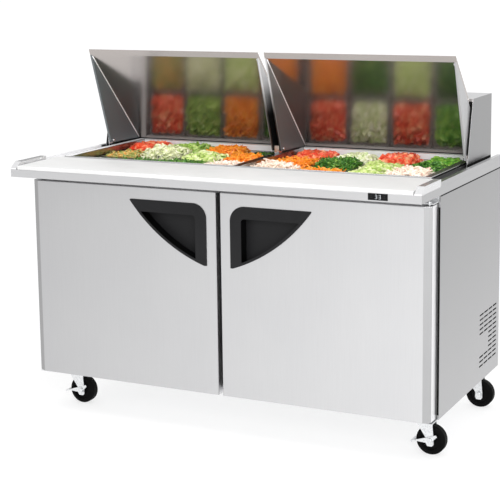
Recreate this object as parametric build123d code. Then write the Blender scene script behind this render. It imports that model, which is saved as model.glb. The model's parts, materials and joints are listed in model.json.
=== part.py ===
from build123d import *
import math
import os

# Sandwich prep table on four swivel casters: two front doors, a cutting board along the front edge,
# an opening of food pans behind it, and two lids that swing back into a hood box.
# Millimetres. +X is the user's right, +Y goes to the back, +Z is up, and z = 0 is the floor.

# ---- driving dimensions ----
WIDTH = 1530.0
DEPTH = 864.0
HALF_W = WIDTH / 2
FRONT_Y = -DEPTH / 2
REAR_Y = DEPTH / 2
CABINET_BOTTOM = 150.0
SKIRT_BOTTOM = 893.0
SEAT_Z = 920.0
EDGE_TOP = 936.0
HOOD_TOP = 1158.0
CARCASS_FRONT = -249.0
SHEET = 1.5
THIN = 1.2
GAP = 0.3
PIN_R = 4.0
RUNNING = 0.06

# cutting board and the brackets at its ends
BRACKET_X0 = 741.0
BRACKET_TOP = 945.0
BRACKET_SLOPE = 30.0
BRACKET_BACK = -246.0
BOARD_HALF = 737.0
BOARD_T = 13.0
BOARD_BACK = -177.0

# pan opening
RAIL_OUT_X = 709.0
RAIL_IN_X = 684.0
RAIL_FRONT = -174.0
RAIL_REAR = 374.0
RAIL_TOP = 937.0
DIVIDER_HALF = 15.0
WELL_FRONT = -170.0
WELL_REAR = 364.0
LEDGE_Z = 911.0
LEDGE_T = 3.0
COLLAR_T = 5.0
BAR_T = 12.0
PAN_COLUMNS = 4
PAN_ROWS = 3
PAN_PITCH_X = 166.0
PAN_PITCH_Y = 177.0
PAN_W = 162.0
PAN_L = 174.0
PAN_DEPTH = 100.0
PAN_WALL = 1.2
PAN_TAPER = 5.0
PAN_RIM = 8.0
PAN_TOP = LEDGE_Z + GAP + PAN_WALL

# lids, in their open position, as (y, z)
LID_TIP = (29.0, 1317.0)
LID_FOOT = (157.0, 947.0)
LID_HEEL = (385.0, 941.0)
LID_PIVOT = (170.0, 955.0)
LID_OUT_X = 720.0
LID_IN_X = 12.0
LID_PANEL_T = 10.0
POST_PLAY = 0.8
POST_T = 4.2
CHEEK_T = 8.0
LID_TIP_ROUND = 0.4

# hood box
HOOD_X = 729.5
HOOD_FRONT_LOW = 145.0
HOOD_FRONT_HIGH = 200.0
HOOD_REAR = 420.0
HOOD_LIP = 10.0

# doors
DOOR_FRONT = -317.0
DOOR_BACK = -258.0
DOOR_BOTTOM = 153.0
DOOR_TOP = 866.0
DOOR_IN_X = 8.0
DOOR_OUT_X = 757.0
DOOR_FACE_X = 732.0
DOOR_FACET = 14.0
DOOR_AXIS = (740.0, -285.0)
GASKET_W = 14.0
GASKET_INSET = 12.0
DOOR_BEND = 2.5
BEND = 1.2

# flush grip in each door: a quarter fan with a cut corner
GRIP_SIDE_X = 46.0
GRIP_TOP = 823.0
GRIP_CORNER = 52.0
GRIP_TIP = (346.0, 820.0)
GRIP_MID = (182.0, 668.0)
GRIP_FOOT = (56.0, 608.0)
GRIP_RIM_TOP = 42.0
GRIP_RIM_SIDE = 42.0
GRIP_RIM_CURVE = 9.0
GRIP_PROUD = 3.0
GRIP_DEPTH = 38.0
GRIP_WALL = 2.5

# cold space and the machine space behind it
BAY_TOP = 850.0
BAY_BOTTOM = 200.0
BAY_SIDE = 722.0
MULLION_HALF = 22.0
FRAME_DEPTH = 28.0
LINER_X = 700.0
LINER_REAR = 190.0
STEP_Z = 640.0
LINER_BACK_TOP = 398.0
INSULATION = 42.0

# casters
STEM_X = 688.0
STEM_Y = (-164.0, 387.0)
TRAIL = 26.0
WHEEL_R = 51.0
WHEEL_W = 32.0
CROWN_Z0 = 112.0
CROWN_Z1 = 124.0
FORK_HALF = 19.5
FORK_T = 3.0
AXLE_R = 6.0

# louvres
SLOT_L = 44.0
SLOT_H = 6.0
SLOT_PITCH_Y = 53.0
SLOT_PITCH_Z = 17.0
SLOT_ROWS = 12
SLOT_COLUMNS = 4
LOUVRE_Y0 = 218.0
LOUVRE_Z0 = 206.0

# machine parts
FAN_R = 82.0
COND_FAN_X = 650.0
COND_FAN_Y = 320.0
COND_FAN_Z = 290.0
EVAP_FAN_R = 55.0
EVAP_FAN_Z = 490.0
SUCTION_X = 300.0
SUCTION_Z = 330.0
DISPLAY_X = 622.0
DISPLAY_Z = 908.0


# ---- helpers ----
def block(x0, x1, y0, y1, z0, z1):
    return Pos((x0 + x1) / 2, (y0 + y1) / 2, (z0 + z1) / 2) * Box(abs(x1 - x0), abs(y1 - y0), abs(z1 - z0))


def rod(radius, start, direction, length):
    plane = Plane(origin=start, z_dir=direction)
    return plane * Cylinder(radius, length, align=(Align.CENTER, Align.CENTER, Align.MIN))


def prism_z(points, z0, z1):
    return extrude(Plane.XY.offset(z0) * make_face(Polyline(*points, close=True)), z1 - z0)


def prism_x(points, x0, x1):
    """Extrudes an outline of (y, z) points along X."""
    face = make_face(Polyline(*points, close=True))
    return extrude(Plane.YZ.offset(x0) * face, x1 - x0)


def mirrored(shape, side):
    return shape if side > 0 else mirror(shape, about=Plane.YZ)


def save(shape, node):
    export_step(shape, "parts/" + node + ".step")


def save_group(solids, node):
    save(Compound(children=list(solids)), node)


# ---- outer carcass ----
def louvre_slots(x0, x1):
    """Horizontal slots for the machine space, with a plain patch left at mid height towards the front."""
    blank = {(row, column) for row in range(3, 7) for column in (0, 1)}
    slots = []
    for row in range(SLOT_ROWS):
        for column in range(SLOT_COLUMNS):
            if (row, column) in blank:
                continue
            y = LOUVRE_Y0 + column * SLOT_PITCH_Y
            z = LOUVRE_Z0 + row * SLOT_PITCH_Z
            slots.append(block(x0, x1, y - SLOT_L / 2, y + SLOT_L / 2, z - SLOT_H / 2, z + SLOT_H / 2))
    return slots


def side_panel(side):
    panel = block(HALF_W - SHEET, HALF_W, CARCASS_FRONT, REAR_Y, CABINET_BOTTOM, SKIRT_BOTTOM)
    flange = 18.0
    panel += block(HALF_W - flange, HALF_W, CARCASS_FRONT, CARCASS_FRONT + SHEET, CABINET_BOTTOM, SKIRT_BOTTOM)
    if side > 0:
        for slot in louvre_slots(HALF_W - 5, HALF_W + 5):
            panel -= slot
    return mirrored(panel, side)


def back_panel():
    inner = HALF_W - SHEET
    panel = block(-inner, inner, REAR_Y - SHEET, REAR_Y, CABINET_BOTTOM, SKIRT_BOTTOM)
    rows = 14
    slot_half = 80.0
    for row in range(rows):
        z = LOUVRE_Z0 + row * SLOT_PITCH_Z
        for x in (-500.0, 430.0):
            panel -= block(x - slot_half, x + slot_half, REAR_Y - 5, REAR_Y + 5, z - SLOT_H / 2, z + SLOT_H / 2)
    panel -= rod(10.0, (620.0, REAR_Y - 5, 230.0), (0, 1, 0), 10.0)
    return panel


def base_tray():
    inner = HALF_W - SHEET
    front = CARCASS_FRONT + SHEET
    lip = 20.0
    tray = block(-inner, inner, front, REAR_Y - SHEET, CABINET_BOTTOM, CABINET_BOTTOM + 2)
    for x in (-inner, inner - SHEET):
        tray += block(x, x + SHEET, front, REAR_Y - SHEET, CABINET_BOTTOM, CABINET_BOTTOM + lip)
    return tray


def front_frame():
    """Frame round both door openings, with the mullion between them."""
    inner = HALF_W - 18.0
    y0 = CARCASS_FRONT
    frame = block(-inner, inner, y0, y0 + FRAME_DEPTH, CABINET_BOTTOM + 2, SKIRT_BOTTOM)
    for side in (-1, 1):
        edges = sorted((side * MULLION_HALF, side * BAY_SIDE))
        frame -= block(edges[0], edges[1], y0 - 1, y0 + FRAME_DEPTH + 1, BAY_BOTTOM, BAY_TOP)
    return frame


def suction_hole():
    """Way through the liner and the insulation for the suction tube."""
    return rod(6.0, (SUCTION_X, LINER_REAR - 20, SUCTION_Z), (0, 1, 0), INSULATION + 60)


def cabinet_liner():
    """Cold space: a deep lower part, and an upper part that runs back under the pans."""
    y0 = CARCASS_FRONT + FRAME_DEPTH
    top = SKIRT_BOTTOM
    outer = [(y0, BAY_BOTTOM - THIN), (LINER_REAR, BAY_BOTTOM - THIN), (LINER_REAR, STEP_Z)]
    outer += [(LINER_BACK_TOP, STEP_Z), (LINER_BACK_TOP, top), (y0, top)]
    inner = [(y0 - 1, BAY_BOTTOM), (LINER_REAR - THIN, BAY_BOTTOM), (LINER_REAR - THIN, STEP_Z + THIN)]
    inner += [(LINER_BACK_TOP - THIN, STEP_Z + THIN), (LINER_BACK_TOP - THIN, top + 1), (y0 - 1, top + 1)]
    side = LINER_X + THIN
    liner = prism_x(outer, -side, side) - prism_x(inner, -LINER_X, LINER_X)
    return liner - suction_hole()


def insulation_sides():
    y0 = CARCASS_FRONT + FRAME_DEPTH + 1
    z0 = CABINET_BOTTOM + 3
    outline = [(y0, z0), (LINER_REAR, z0), (LINER_REAR, STEP_Z - INSULATION)]
    outline += [(REAR_Y - 3, STEP_Z - INSULATION), (REAR_Y - 3, SKIRT_BOTTOM), (y0, SKIRT_BOTTOM)]
    slab = prism_x(outline, LINER_X + THIN + GAP, HALF_W - 2 * SHEET - GAP)
    return [slab, mirrored(slab, -1)]


def insulation_floor():
    y0 = CARCASS_FRONT + FRAME_DEPTH + 1
    return block(-LINER_X, LINER_X, y0, LINER_REAR, CABINET_BOTTOM + 3, BAY_BOTTOM - THIN - GAP)


def insulation_rear():
    """Wall behind the lower cold space, the shelf of the step, and the wall behind the pans."""
    z_top = SKIRT_BOTTOM
    y0 = LINER_REAR + GAP
    y1 = LINER_BACK_TOP + GAP
    outline = [(y0, CABINET_BOTTOM + 3), (y0 + INSULATION, CABINET_BOTTOM + 3)]
    outline += [(y0 + INSULATION, STEP_Z - INSULATION), (REAR_Y - 3, STEP_Z - INSULATION)]
    outline += [(REAR_Y - 3, z_top), (y1, z_top), (y1, STEP_Z - GAP), (y0, STEP_Z - GAP)]
    return prism_x(outline, -LINER_X, LINER_X) - suction_hole()


# ---- countertop, board and pans ----
def countertop():
    """Folded top with a front fascia, side skirts, raised side edges and the pan cut-out."""
    outer = block(-HALF_W, HALF_W, FRONT_Y, REAR_Y, SKIRT_BOTTOM, SEAT_Z)
    outer = fillet(outer.edges().filter_by(Axis.Z), BEND)
    outer = fillet(outer.edges().group_by(Axis.Z)[-1].sort_by(Axis.Y)[0], BEND)
    inner = HALF_W - SHEET
    top = outer - block(-inner, inner, FRONT_Y + SHEET, REAR_Y - SHEET, SKIRT_BOTTOM - 1, SEAT_Z - SHEET)
    edge_w = 15.0
    for x in (-HALF_W, HALF_W - edge_w):
        top += block(x, x + edge_w, BRACKET_BACK + 1, REAR_Y, SEAT_Z, EDGE_TOP)
    cut = RAIL_IN_X + COLLAR_T + GAP
    cut_rear = WELL_REAR + COLLAR_T + GAP
    top -= block(-cut, cut, RAIL_FRONT, cut_rear, SEAT_Z - 10, SEAT_Z + 5)
    top -= block(DISPLAY_X - 31, DISPLAY_X + 31, FRONT_Y - 1, FRONT_Y + 5, DISPLAY_Z - 9, DISPLAY_Z + 9)
    return top


def digital_display():
    bezel = block(DISPLAY_X - 33, DISPLAY_X + 33, FRONT_Y - 2, FRONT_Y, DISPLAY_Z - 11, DISPLAY_Z + 11)
    body = block(DISPLAY_X - 30, DISPLAY_X + 30, FRONT_Y, FRONT_Y + 45, DISPLAY_Z - 8, DISPLAY_Z + 8)
    return bezel + body


def board_brackets():
    outline = [(FRONT_Y, SEAT_Z), (BRACKET_BACK, SEAT_Z), (BRACKET_BACK, BRACKET_TOP)]
    outline += [(FRONT_Y + BRACKET_SLOPE, BRACKET_TOP), (FRONT_Y, SEAT_Z + 4)]
    bracket = prism_x(outline, BRACKET_X0, HALF_W)
    bracket = fillet(bracket.edges().group_by(Axis.Z)[-1], BEND)
    nose = FRONT_Y + BRACKET_SLOPE
    inside = [(FRONT_Y + 6, SEAT_Z - 1), (BRACKET_BACK - 3, SEAT_Z - 1)]
    inside += [(BRACKET_BACK - 3, BRACKET_TOP - THIN), (nose + 2, BRACKET_TOP - THIN), (FRONT_Y + 6, SEAT_Z + 4)]
    bracket -= prism_x(inside, BRACKET_X0 + THIN, HALF_W - THIN)
    return [bracket, mirrored(bracket, -1)]


def bracket_screws():
    screws = []
    for y in (FRONT_Y + 60, BRACKET_BACK - 30):
        head = rod(4.0, (BRACKET_X0 - GAP, y, SEAT_Z + 19), (-1, 0, 0), 2.0)
        screws.append(head)
        screws.append(mirrored(head, -1))
    return screws


def cutting_board():
    z0 = SEAT_Z + GAP
    board = block(-BOARD_HALF, BOARD_HALF, FRONT_Y + 1, BOARD_BACK, z0, z0 + BOARD_T)
    return fillet(board.edges().group_by(Axis.Z)[-1], 2.0)


def pan_rail():
    """Raised frame round the pan opening. Its collar hangs down to a ledge for the pan rims."""
    rail = block(-RAIL_OUT_X, RAIL_OUT_X, RAIL_FRONT, RAIL_REAR, SEAT_Z, RAIL_TOP)
    rail = fillet(rail.edges().group_by(Axis.Z)[-1], BEND)
    collar_x = RAIL_IN_X + COLLAR_T
    bottom = LEDGE_Z - LEDGE_T
    rail += block(-collar_x, collar_x, RAIL_FRONT + GAP, WELL_REAR + COLLAR_T, bottom, SEAT_Z)
    for side in (-1, 1):
        x0, x1 = sorted((side * DIVIDER_HALF, side * RAIL_IN_X))
        rail -= block(x0, x1, WELL_FRONT, WELL_REAR, LEDGE_Z, RAIL_TOP + 1)
        x2 = x0 + PAN_RIM - 1
        x3 = x1 - PAN_RIM + 1
        rail -= block(x2, x3, WELL_FRONT + PAN_RIM, WELL_REAR - PAN_RIM, bottom - 1, RAIL_TOP)
    return rail


def pan_centre(column, row, side):
    first = DIVIDER_HALF + (RAIL_IN_X - DIVIDER_HALF - PAN_COLUMNS * PAN_PITCH_X) / 2 + PAN_PITCH_X / 2
    well = WELL_REAR - WELL_FRONT
    y = WELL_FRONT + (well - PAN_ROWS * PAN_PITCH_Y) / 2 + (row + 0.5) * PAN_PITCH_Y
    return side * (first + column * PAN_PITCH_X), y


def pan_support_bars():
    """Bars along Y that carry the rims between the columns of pans."""
    bars = []
    for side in (-1, 1):
        for column in range(PAN_COLUMNS - 1):
            x = (pan_centre(column, 0, side)[0] + pan_centre(column + 1, 0, side)[0]) / 2
            y0 = WELL_FRONT + PAN_RIM
            y1 = WELL_REAR - PAN_RIM
            bars.append(block(x - 7, x + 7, y0, y1, LEDGE_Z - BAR_T, LEDGE_Z))
    return bars


def food_pan():
    """Sixth-size pan: a tapered tub with rounded corners and a flat rim."""
    rim_r = 14.0
    tub_w = PAN_W - 2 * (PAN_RIM + 1)
    tub_l = PAN_L - 2 * (PAN_RIM + 1)
    rim = extrude(RectangleRounded(PAN_W, PAN_L, rim_r), -PAN_WALL)
    tub = extrude(RectangleRounded(tub_w, tub_l, rim_r + 6), -PAN_DEPTH, taper=PAN_TAPER)
    inside_face = RectangleRounded(tub_w - 2 * PAN_WALL, tub_l - 2 * PAN_WALL, rim_r + 5)
    inside = extrude(inside_face, -(PAN_DEPTH - PAN_WALL), taper=PAN_TAPER)
    return rim + tub - inside


def food_pans(side):
    pan = food_pan()
    pans = []
    for column in range(PAN_COLUMNS):
        for row in range(PAN_ROWS):
            x, y = pan_centre(column, row, side)
            pans.append(Pos(x, y, PAN_TOP) * pan)
    return pans


# ---- hood and lids ----
def hood_box():
    """Sheet box, open at the front and the bottom, that the lids swing back into."""
    z0 = EDGE_TOP
    outline = [(HOOD_FRONT_LOW, z0), (HOOD_REAR, z0), (HOOD_REAR, HOOD_TOP), (HOOD_FRONT_HIGH, HOOD_TOP)]
    inner_rear = HOOD_REAR - THIN
    inside = [(HOOD_FRONT_LOW - 60, z0 - 1), (inner_rear, z0 - 1), (inner_rear, HOOD_TOP - THIN)]
    inside += [(HOOD_FRONT_HIGH - 60, HOOD_TOP - THIN)]
    shell = prism_x(outline, -HOOD_X, HOOD_X)
    shell = fillet(shell.edges().group_by(Axis.Z)[-1], BEND)
    hood = shell - prism_x(inside, -HOOD_X + THIN, HOOD_X - THIN)
    lip = block(-HOOD_X, HOOD_X, HOOD_FRONT_HIGH, HOOD_FRONT_HIGH + THIN, HOOD_TOP - HOOD_LIP, HOOD_TOP)
    return hood + lip


def hood_base_strip():
    width = 4.0
    z0 = SEAT_Z
    solids = [block(-HOOD_X, HOOD_X, HOOD_REAR - width, HOOD_REAR, z0, EDGE_TOP)]
    for x in (-HOOD_X, HOOD_X - width):
        solids.append(block(x, x + width, HOOD_FRONT_LOW + 5, HOOD_REAR - width, z0, EDGE_TOP))
    strip = solids[0]
    for piece in solids[1:]:
        strip += piece
    return strip


def lid_direction(start, end):
    length = math.dist(start, end)
    return (end[0] - start[0]) / length, (end[1] - start[1]) / length


def lid_inner_point(corner, toward):
    """The point on the edge from a corner of the outer face where the panel's inner face meets it."""
    along = lid_direction(LID_TIP, LID_HEEL)
    edge = lid_direction(corner, toward)
    sine = abs(along[0] * edge[1] - along[1] * edge[0])
    step = LID_PANEL_T / sine
    return corner[0] + edge[0] * step, corner[1] + edge[1] * step


def lid_panel(side):
    outline = [LID_TIP, LID_HEEL, lid_inner_point(LID_HEEL, LID_FOOT), lid_inner_point(LID_TIP, LID_FOOT)]
    panel = prism_x(outline, LID_IN_X, LID_OUT_X)
    panel = fillet(panel.edges().group_by(Axis.Z)[-1], LID_TIP_ROUND)
    return mirrored(panel, side)


def lid_cheeks(side):
    """Triangular end walls of a lid, each with the bore for its pivot pin."""
    outline = [lid_inner_point(LID_TIP, LID_FOOT), LID_FOOT, lid_inner_point(LID_HEEL, LID_FOOT)]
    cheeks = []
    for x in (LID_IN_X, LID_OUT_X - CHEEK_T):
        cheek = prism_x(outline, x, x + CHEEK_T)
        bore = rod(PIN_R + RUNNING, (x - 1, LID_PIVOT[0], LID_PIVOT[1]), (1, 0, 0), CHEEK_T + 2)
        cheeks.append(mirrored(cheek - bore, side))
    return cheeks


def lid_pivot_posts():
    """Posts beside and between the lids, with the pins that the lids turn on."""
    half = 13.0
    y, z = LID_PIVOT
    head = z + 11.0
    reach = 14.0
    posts = []
    for side in (-1, 1):
        inner = LID_OUT_X + POST_PLAY
        post = block(inner, inner + POST_T, y - half, y + half, SEAT_Z, head)
        post += rod(PIN_R, (inner + 1, y, z), (-1, 0, 0), reach)
        posts.append(mirrored(post, side))
    centre = block(-9.0, 9.0, y - half, y + half, RAIL_TOP, head)
    centre += rod(PIN_R, (-9.0 - reach, y, z), (1, 0, 0), 18.0 + 2 * reach)
    posts.append(centre)
    return posts


# ---- doors ----
def door_outline(inset, back):
    """Plan of the right door: flat front, a facet at the hinge edge, open towards the back."""
    corner = (DOOR_FACE_X - inset * 0.3, DOOR_FRONT + inset)
    facet = (DOOR_OUT_X - inset, DOOR_FRONT + DOOR_FACET + inset * 0.3)
    return [(DOOR_IN_X + inset, back), (DOOR_IN_X + inset, DOOR_FRONT + inset), corner, facet,
            (DOOR_OUT_X - inset, back)]


def grip_outline(rim_top, rim_side, rim_curve):
    """Fan outline in (x, z): straight top and inner side, a round corner and an arc below."""
    reduced = rim_top + rim_side + rim_curve > 0
    side_end = (GRIP_SIDE_X, GRIP_TOP - GRIP_CORNER)
    top_start = (GRIP_SIDE_X + GRIP_CORNER, GRIP_TOP)
    bulge = GRIP_CORNER * (1 - math.sqrt(0.5))
    corner_mid = (GRIP_SIDE_X + bulge, GRIP_TOP - bulge)
    top_end = (GRIP_TIP[0] - 3, GRIP_TOP)
    outline = ThreePointArc(GRIP_FOOT, GRIP_MID, GRIP_TIP)
    outline += Polyline(GRIP_TIP, top_end, top_start)
    outline += ThreePointArc(top_start, corner_mid, side_end)
    outline += Polyline(side_end, (GRIP_SIDE_X, GRIP_FOOT[1]), GRIP_FOOT)
    face = make_face(outline)
    if not reduced:
        return face
    inner = offset(face, amount=-rim_curve)
    keep_w = 400.0
    corner_r = 12.0
    window = RectangleRounded(keep_w, keep_w, corner_r)
    return inner & (Pos(GRIP_SIDE_X + rim_side + keep_w / 2, GRIP_TOP - rim_top - keep_w / 2) * window)


def grip_prism(rims, y0, y1):
    """Extrudes the grip's outline from y0 back to y1, on the right door."""
    plane = Plane(origin=(0, y0, 0), x_dir=(1, 0, 0), z_dir=(0, -1, 0))
    return extrude(plane * grip_outline(*rims), -(y1 - y0))


GRIP_RIMS = (GRIP_RIM_TOP, GRIP_RIM_SIDE, GRIP_RIM_CURVE)
GRIP_WALL_RIMS = (GRIP_RIM_TOP - GRIP_WALL, GRIP_RIM_SIDE - GRIP_WALL, GRIP_RIM_CURVE - GRIP_WALL)
GRIP_CUT_RIMS = (GRIP_RIM_TOP - GRIP_WALL - 1, GRIP_RIM_SIDE - GRIP_WALL - 1, GRIP_RIM_CURVE - GRIP_WALL - 1)


def hinge_bores():
    x, y = DOOR_AXIS
    low = rod(PIN_R + RUNNING, (x, y, DOOR_BOTTOM - 1), (0, 0, 1), 22.0)
    high = rod(PIN_R + RUNNING, (x, y, DOOR_TOP + 1), (0, 0, -1), 22.0)
    return [low, high]


def front_edges(shape, back):
    """Edges of a shape that don't lie in its back plane."""
    kept = []
    for edge in shape.edges():
        box = edge.bounding_box()
        if box.min.Y < back - 1 and not (box.max.Y > back - 0.1 and box.min.Y > back - 0.1):
            kept.append(edge)
    return kept


def door_skin(side):
    outer = prism_z(door_outline(0, DOOR_BACK), DOOR_BOTTOM, DOOR_TOP)
    outer = fillet(front_edges(outer, DOOR_BACK), DOOR_BEND)
    inner = prism_z(door_outline(THIN, DOOR_BACK + 1), DOOR_BOTTOM + THIN, DOOR_TOP - THIN)
    skin = outer - inner
    skin -= grip_prism(GRIP_CUT_RIMS, DOOR_FRONT - 1, DOOR_FRONT + 2)
    for bore in hinge_bores():
        skin -= bore
    return mirrored(skin, side)


def door_core(side):
    inset = THIN + 0.2
    back = DOOR_BACK - 4.0
    core = prism_z(door_outline(inset, back), DOOR_BOTTOM + inset, DOOR_TOP - inset)
    core -= grip_prism(GRIP_CUT_RIMS, DOOR_FRONT - 1, DOOR_FRONT + GRIP_DEPTH + GRIP_WALL + 1)
    for bore in hinge_bores():
        core -= bore
    return mirrored(core, side)


def door_liner(side):
    inset = THIN + 0.2
    x0 = DOOR_IN_X + inset
    x1 = DOOR_OUT_X - inset
    z0 = DOOR_BOTTOM + inset
    z1 = DOOR_TOP - inset
    liner = block(x0, x1, DOOR_BACK - 4.0 + 0.1, DOOR_BACK, z0, z1)
    frame = 70.0
    liner += block(x0 + frame, x1 - frame, DOOR_BACK, DOOR_BACK + 6, z0 + frame, z1 - frame)
    return mirrored(liner, side)


def door_gasket(side):
    """Square loop of magnetic gasket on the back of the door."""
    y0 = DOOR_BACK + 0.1
    y1 = CARCASS_FRONT - 0.6
    x0 = DOOR_IN_X + 3
    x1 = DOOR_OUT_X - GASKET_INSET
    z0 = DOOR_BOTTOM + GASKET_INSET
    z1 = DOOR_TOP - GASKET_INSET
    loop = block(x0, x1, y0, y1, z0, z1)
    loop -= block(x0 + GASKET_W, x1 - GASKET_W, y0 - 1, y1 + 1, z0 + GASKET_W, z1 - GASKET_W)
    return mirrored(loop, side)


def door_grip(side):
    """Flush moulded grip: a flat bezel round a pocket for the fingers."""
    bezel = grip_prism((0, 0, 0), DOOR_FRONT - GRIP_PROUD, DOOR_FRONT)
    cup = grip_prism(GRIP_WALL_RIMS, DOOR_FRONT - GRIP_PROUD, DOOR_FRONT + GRIP_DEPTH + GRIP_WALL)
    pocket = grip_prism(GRIP_RIMS, DOOR_FRONT - GRIP_PROUD - 1, DOOR_FRONT + GRIP_DEPTH)
    return mirrored(bezel + cup - pocket, side)


def door_hinge_brackets():
    """Plates above and below each door with the pins that the door turns on."""
    x, y = DOOR_AXIS
    plate_t = 3.0
    brackets = []
    for side in (-1, 1):
        top = block(x - 22, x + 20, y - 16, CARCASS_FRONT, DOOR_TOP + 5, DOOR_TOP + 5 + plate_t)
        top += block(x - 22, x + 20, CARCASS_FRONT - plate_t, CARCASS_FRONT, DOOR_TOP + 5, SKIRT_BOTTOM - 1)
        top += rod(PIN_R, (x, y, DOOR_TOP + 6), (0, 0, -1), 22.0)
        top += rod(7.0, (x, y, DOOR_TOP + 5 + plate_t), (0, 0, 1), 4.0)
        low = block(x - 22, x + 20, y - 16, CARCASS_FRONT + 40, CABINET_BOTTOM - plate_t, CABINET_BOTTOM)
        low += rod(PIN_R, (x, y, CABINET_BOTTOM - 1), (0, 0, 1), 22.0)
        brackets.append(mirrored(top, side))
        brackets.append(mirrored(low, side))
    return brackets


# ---- inside the cold space ----
def shelves():
    """Wire shelf in each bay: a rim of rods with cross wires."""
    wire = 3.0
    z = 470.0
    solids = []
    for side in (-1, 1):
        x0 = 34.0
        x1 = LINER_X - 8.0
        y0 = -205.0
        y1 = 76.0
        shelf = rod(wire, (x0, y0, z), (1, 0, 0), x1 - x0) + rod(wire, (x0, y1, z), (1, 0, 0), x1 - x0)
        count = 21
        for i in range(count):
            x = x0 + 2 + i * (x1 - x0 - 4) / (count - 1)
            shelf += rod(wire - 1, (x, y0 - 1, z + 3.5), (0, 1, 0), y1 - y0 + 2)
        solids.append(mirrored(shelf, side))
    return solids


def shelf_clips():
    clips = []
    for side in (-1, 1):
        for y in (-160.0, 40.0):
            clip = block(LINER_X - 14, LINER_X, y - 9, y + 9, 460.0, 466.6)
            clips.append(mirrored(clip, side))
    return clips


def evaporator_coil():
    """Block of upright fins crossed by tubes, on the rear wall of the cold space."""
    fins = 25
    pitch = 14.0
    x0 = -(fins - 1) * pitch / 2
    y0 = LINER_REAR - 62.0
    coil = block(x0, -x0, y0, y0 + 8, 420.0, 428.0)
    for z in (440.0, 475.0, 510.0, 545.0):
        coil += rod(5.0, (x0 - 6, y0 + 22, z), (1, 0, 0), -2 * x0 + 12)
    for i in range(fins):
        x = x0 + i * pitch
        coil += block(x - 0.5, x + 0.5, y0, y0 + 44, 420.0, 570.0)
    return coil


def evaporator_cover():
    """Shroud in front of the coil with the outlet for the fan."""
    half = 205.0
    y0 = LINER_REAR - 100.0
    y1 = LINER_REAR - THIN
    cover = block(-half, half, y0, y1, 400.0, 600.0)
    cover -= block(-half + THIN, half - THIN, y0 + THIN, y1 + 1, 399.0, 600.0 - THIN)
    cover -= rod(EVAP_FAN_R + 4, (0, y0 - 2, EVAP_FAN_Z), (0, 1, 0), 6.0)
    return cover


def evaporator_fan():
    return axial_fan(EVAP_FAN_R, (0, LINER_REAR - 92.0, EVAP_FAN_Z), (0, 1, 0), 14.0)


def axial_fan(radius, centre, axis, depth):
    """Hub with five blades and a bore for the motor shaft, along Z first and then turned to its axis."""
    hub = Cylinder(radius * 0.3, depth, align=(Align.CENTER, Align.CENTER, Align.MIN))
    blades = 5
    fan = hub
    for i in range(blades):
        blade = Pos(radius * 0.6, 0, depth / 2) * Rot(28, 0, 0) * Box(radius * 0.78, radius * 0.46, 1.6)
        fan += Rot(0, 0, i * 360 / blades) * blade
    fan &= Cylinder(radius, depth * 4)
    fan -= Cylinder(PIN_R + RUNNING, depth * 4)
    return Plane(origin=centre, z_dir=axis) * fan


def fan_motors():
    """Motors with their shafts, for the evaporator fan and the condenser fan."""
    evap_y = LINER_REAR - 92.0
    evap = rod(17.0, (0, evap_y + 16.0, EVAP_FAN_Z), (0, 1, 0), 12.0)
    evap += rod(PIN_R, (0, evap_y - 4, EVAP_FAN_Z), (0, 1, 0), 24.0)
    cond = rod(30.0, (COND_FAN_X - 3.0, COND_FAN_Y, COND_FAN_Z), (-1, 0, 0), 60.0)
    cond += rod(PIN_R, (COND_FAN_X - 5.0, COND_FAN_Y, COND_FAN_Z), (1, 0, 0), 26.0)
    foot = block(COND_FAN_X - 50, COND_FAN_X - 20, COND_FAN_Y - 20, COND_FAN_Y + 20, 152.0, COND_FAN_Z - 24)
    return [evap, cond + foot]


def condenser_fan():
    return axial_fan(FAN_R, (COND_FAN_X, COND_FAN_Y, COND_FAN_Z), (1, 0, 0), 18.0)


# ---- machine space ----
def compressor():
    """Welded steel shell on a mounting plate with rubber feet."""
    x, y = 430.0, 335.0
    z0 = 152.0
    shell = Pos(x, y, z0 + 92) * Cylinder(74.0, 120.0)
    shell = fillet(shell.edges(), 28.0)
    plate = block(x - 95, x + 95, y - 75, y + 75, z0 + 12, z0 + 16)
    body = shell + plate + Pos(x, y, z0 + 24) * Cylinder(45.0, 20.0)
    for dx in (-80, 80):
        for dy in (-60, 60):
            body += Pos(x + dx, y + dy, z0 + 7) * Cylinder(11.0, 14.0)
    return body


def condenser_coil():
    """Finned block in front of the side louvres."""
    y0 = LINER_REAR + INSULATION + 8
    y1 = REAR_Y - 14.0
    z0 = 190.0
    z1 = 400.0
    x0 = 700.0
    x1 = 738.0
    coil = block(x0, x1, y0, y1, z0, z0 + 3) + block(x0, x1, y0, y1, z1 - 3, z1)
    for i in range(6):
        z = z0 + 25 + i * 32
        coil += rod(4.5, (x0 + 19, y0, z), (0, 1, 0), y1 - y0)
    fins = 17
    for i in range(fins):
        y = y0 + i * (y1 - y0 - 1) / (fins - 1)
        coil += block(x0, x1, y, y + 1, z0, z1)
    legs = block(x0, x1, y0, y0 + 3, 152.0, z0) + block(x0, x1, y1 - 3, y1, 152.0, z0)
    return coil + legs


def tube(points, radius, bend):
    path = FilletPolyline(*points, radius=bend)
    start = Plane(origin=path @ 0, z_dir=path % 0)
    return sweep(start * Circle(radius), path=path)


def refrigerant_tubing():
    """Discharge tube to the condenser, and the suction tube down from the evaporator."""
    z_top = 268.0
    discharge = tube([(430, 415, z_top), (430, 415, 460), (719, 415, 460), (719, 415, 404)], 4.0, 20.0)
    back = LINER_REAR + 0.5
    x, z = SUCTION_X, SUCTION_Z
    suction = tube([(x, back - 45, z + 70), (x, back - 45, z), (x, 290, z), (x + 50, 290, z)], 4.0, 14.0)
    return [discharge, suction]


def drain_pan():
    pan = block(-180.0, 120.0, 260.0, 410.0, 153.0, 193.0)
    return pan - block(-180.0 + 2, 120.0 - 2, 262.0, 408.0, 155.0, 194.0)


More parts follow.
